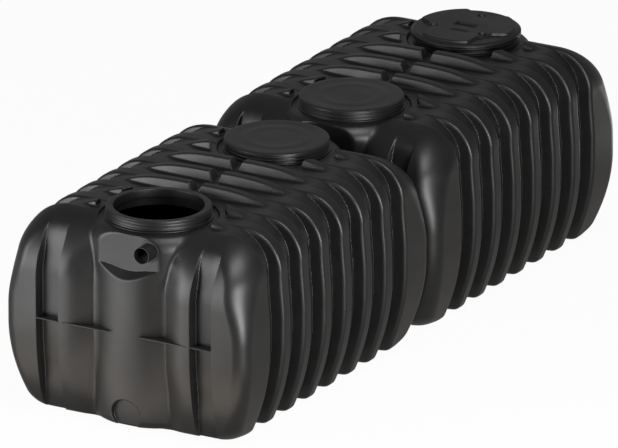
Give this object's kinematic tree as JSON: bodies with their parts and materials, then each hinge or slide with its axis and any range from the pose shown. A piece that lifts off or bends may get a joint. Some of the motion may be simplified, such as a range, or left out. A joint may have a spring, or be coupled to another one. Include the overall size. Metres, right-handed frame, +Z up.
{
  "type": "rainwater tank",
  "caption": "Flat ribbed rainwater tank of black moulded plastic: paired tanks end to end, with round necks, a screw lid, blanked necks and an inlet pipe stub",
  "frame": {"origin": "bottom centre of the whole, on the level its feet stand on", "axes": "+Z up, +Y along the length from the open neck to the lid, +X to the right"},
  "size_m": [1.732, 4.77, 1.403],
  "materials": {
    "tank_plastic": "satin black polyethylene as it leaves the mould",
    "lid_plastic": "satin black moulded lid",
    "pipe_plastic": "smooth dark drain pipe",
    "seal_rubber": "matt black rubber"
  },
  "bodies": {
    "root": {"front_tank_crown": "tank_plastic", "front_tank_base": "tank_plastic", "front_tank_shoulders": "tank_plastic", "front_tank_haunches": "tank_plastic", "front_tank_right_wall": "tank_plastic", "front_tank_left_wall": "tank_plastic", "front_tank_front_end_centre": "tank_plastic", "front_tank_front_end_corners": "tank_plastic", "front_tank_rear_end_centre": "tank_plastic", "front_tank_rear_end_corners": "tank_plastic", "front_tank_front_seam_webs": "tank_plastic", "front_tank_rear_seam_webs": "tank_plastic", "front_tank_front_neck": "tank_plastic", "front_tank_rear_neck": "tank_plastic", "front_tank_neck_blank": "tank_plastic", "rear_tank_crown": "tank_plastic", "rear_tank_base": "tank_plastic", "rear_tank_shoulders": "tank_plastic", "rear_tank_haunches": "tank_plastic", "rear_tank_right_wall": "tank_plastic", "rear_tank_left_wall": "tank_plastic", "rear_tank_front_end_centre": "tank_plastic", "rear_tank_front_end_corners": "tank_plastic", "rear_tank_rear_end_centre": "tank_plastic", "rear_tank_rear_end_corners": "tank_plastic", "rear_tank_front_seam_webs": "tank_plastic", "rear_tank_rear_seam_webs": "tank_plastic", "rear_tank_front_neck": "tank_plastic", "rear_tank_rear_neck": "tank_plastic", "rear_tank_neck_blank": "tank_plastic", "inlet_pad": "tank_plastic", "front_link_foot": "tank_plastic", "rear_link_foot": "tank_plastic", "screw_lid": "lid_plastic", "lid_screws": "lid_plastic", "inlet_pipe": "pipe_plastic", "link_pipe": "pipe_plastic", "inlet_seal": "seal_rubber", "front_link_seal": "seal_rubber", "rear_link_seal": "seal_rubber"}
  },
  "joints": []
}
